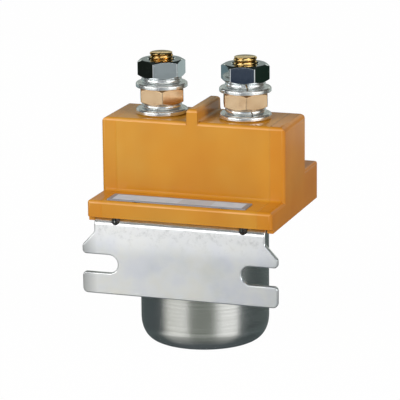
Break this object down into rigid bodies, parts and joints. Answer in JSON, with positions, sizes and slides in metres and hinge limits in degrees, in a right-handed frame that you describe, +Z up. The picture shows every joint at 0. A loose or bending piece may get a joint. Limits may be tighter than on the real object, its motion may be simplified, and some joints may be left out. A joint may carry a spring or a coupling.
{
  "type": "dc contactor",
  "caption": "Single-pole DC contactor: moulded block with two threaded power studs and a barrier, slotted angle bracket and a round coil can below.",
  "frame": {"origin": "centre of the can's flat bottom, on the axis of the coil and the plunger", "axes": "+Z up along the studs, +X from the left stud to the right one, -Y out of the bracket's mounting face"},
  "size_m": [0.078, 0.0616, 0.1117],
  "materials": {
    "housing_moulding": "moulded thermoset, satin, ochre",
    "nameplate_foil": "thin foil plate, bare, with a grey border",
    "bracket_zinc": "zinc-plated steel sheet, soft sheen",
    "can_zinc": "deep-drawn steel, satin zinc",
    "insulation": "pale insulating board and tape",
    "dark_steel": "blackened threaded steel",
    "screw_zinc": "zinc-plated screws",
    "stud_brass": "turned brass",
    "contact_silver": "silver alloy contact faces",
    "washer_zinc": "zinc-plated washers",
    "copper_nut": "copper-coloured plating, satin",
    "bright_zinc_nut": "bright zinc plating",
    "copper": "bare and enamelled copper",
    "nylon": "natural nylon",
    "rubber": "black rubber",
    "core_iron": "soft iron, turned",
    "spring_steel": "spring steel",
    "rod_steel": "stainless steel, ground"
  },
  "bodies": {
    "base": {"housing": "housing_moulding", "nameplate": "nameplate_foil", "bracket": "bracket_zinc", "can": "can_zinc", "insulating_sheet": "insulation", "lead_bushes": "insulation", "winding_tape": "insulation", "locating_studs": "dark_steel", "housing_screws": "screw_zinc", "coil_screws": "screw_zinc", "coil_washers": "screw_zinc", "stud_left": "stud_brass", "stud_right": "stud_brass", "coil_inserts": "stud_brass", "guide_sleeve": "stud_brass", "fixed_contact_left": "contact_silver", "fixed_contact_right": "contact_silver", "base_washer_left": "washer_zinc", "base_washer_right": "washer_zinc", "base_lock_washer_left": "washer_zinc", "base_lock_washer_right": "washer_zinc", "top_washer_left": "washer_zinc", "top_washer_right": "washer_zinc", "top_lock_washer_left": "washer_zinc", "top_lock_washer_right": "washer_zinc", "lower_nut_left": "copper_nut", "lower_nut_right": "copper_nut", "upper_nut_left": "bright_zinc_nut", "upper_nut_right": "bright_zinc_nut", "coil_leads": "copper", "winding": "copper", "bobbin": "nylon", "coil_cushion": "rubber", "plunger_pad": "rubber", "fixed_core": "core_iron", "return_spring": "spring_steel"},
    "armature": {"plunger": "core_iron", "push_rod": "rod_steel", "spring_seat": "screw_zinc", "rod_clip": "spring_steel", "contact_spring": "spring_steel"},
    "contact_bridge": {"bridge": "copper", "moving_contact_left": "contact_silver", "moving_contact_right": "contact_silver", "bridge_bush": "nylon", "bridge_washer": "nylon"}
  },
  "joints": [
    {"name": "plunger_slide", "type": "slide", "parent": "base", "child": "armature", "axis": [0, 0, 1], "range_m": [0, 0.0032], "stiffness_N_per_m": 1000, "springref_m": -0.003, "deforming": ["return_spring"]},
    {"name": "bridge_slide", "type": "slide", "parent": "armature", "child": "contact_bridge", "axis": [0, 0, 1], "range_m": [-0.0006, 0], "deforming": ["contact_spring"]}
  ],
  "couplings": [
    {"joint": "bridge_slide", "follows": "plunger_slide", "ratio": -0.187}
  ]
}
